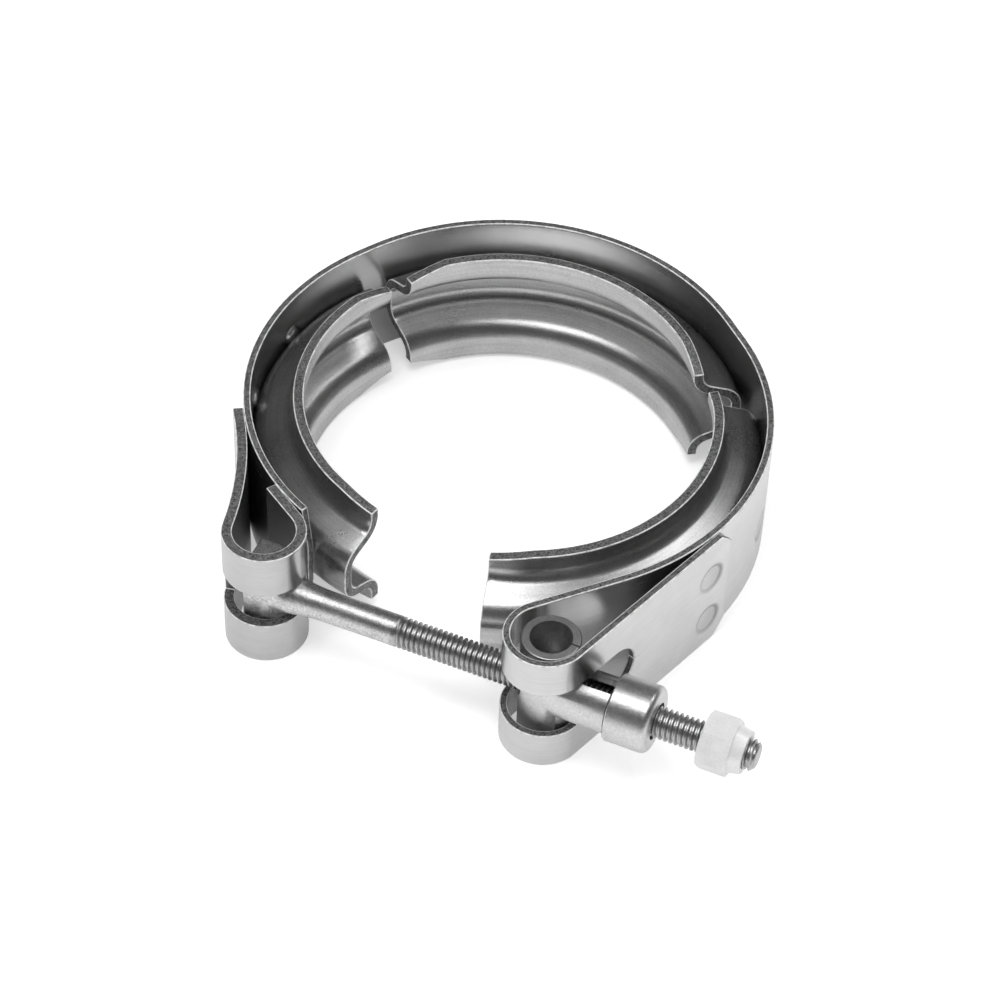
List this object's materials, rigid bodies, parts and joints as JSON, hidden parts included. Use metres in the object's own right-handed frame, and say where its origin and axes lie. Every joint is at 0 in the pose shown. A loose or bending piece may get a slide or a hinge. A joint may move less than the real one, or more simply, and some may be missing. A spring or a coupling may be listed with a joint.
{
  "type": "v band clamp",
  "caption": "V-band clamp with three V retainers, a T-bolt, a pivoting trunnion and a lock nut, shown relaxed and open.",
  "frame": {"origin": "on the axis of the band's rear arc, on the clamp's middle plane", "axes": "+Z along the pipe axis, +X along the bolt from its head to its tip, the bolt on the -Y side"},
  "size_m": [0.1214, 0.1101, 0.027],
  "materials": {
    "outer_band": "bright rolled strip with sheared edges",
    "t_bolt_loop": "bright rolled strip with sheared edges",
    "retainer_rear": "bright rolled sheet with sheared edges",
    "retainer_left": "bright rolled sheet with sheared edges",
    "retainer_right": "bright rolled sheet with sheared edges",
    "t_bolt": "forged and rolled, darker thread",
    "trunnion": "tumbled steel",
    "lock_nut": "silver plated, satin"
  },
  "bodies": {
    "band": {"outer_band": "outer_band", "t_bolt_loop": "t_bolt_loop", "retainer_rear": "retainer_rear", "retainer_left": "retainer_left", "retainer_right": "retainer_right"},
    "t_bolt": {"t_bolt": "t_bolt"},
    "trunnion": {"trunnion": "trunnion"},
    "lock_nut": {"lock_nut": "lock_nut"}
  },
  "joints": [
    {"name": "bolt_pivot", "type": "hinge", "parent": "band", "child": "t_bolt", "pos_m": [-0.02379, -0.0542, 0], "axis": [0, 0, 1], "range_deg": [-0.5, 0.5]},
    {"name": "trunnion_pivot", "type": "hinge", "parent": "band", "child": "trunnion", "pos_m": [0.032, -0.0542, 0], "axis": [0, 0, 1], "range_deg": [-1.83, 1.83]},
    {"name": "nut_slide", "type": "slide", "parent": "t_bolt", "child": "lock_nut", "axis": [1, 0, 0], "range_m": [-0.0089, 0.0105]}
  ],
  "couplings": [
    {"joint": "trunnion_pivot", "follows": "bolt_pivot", "ratio": 3.65}
  ]
}
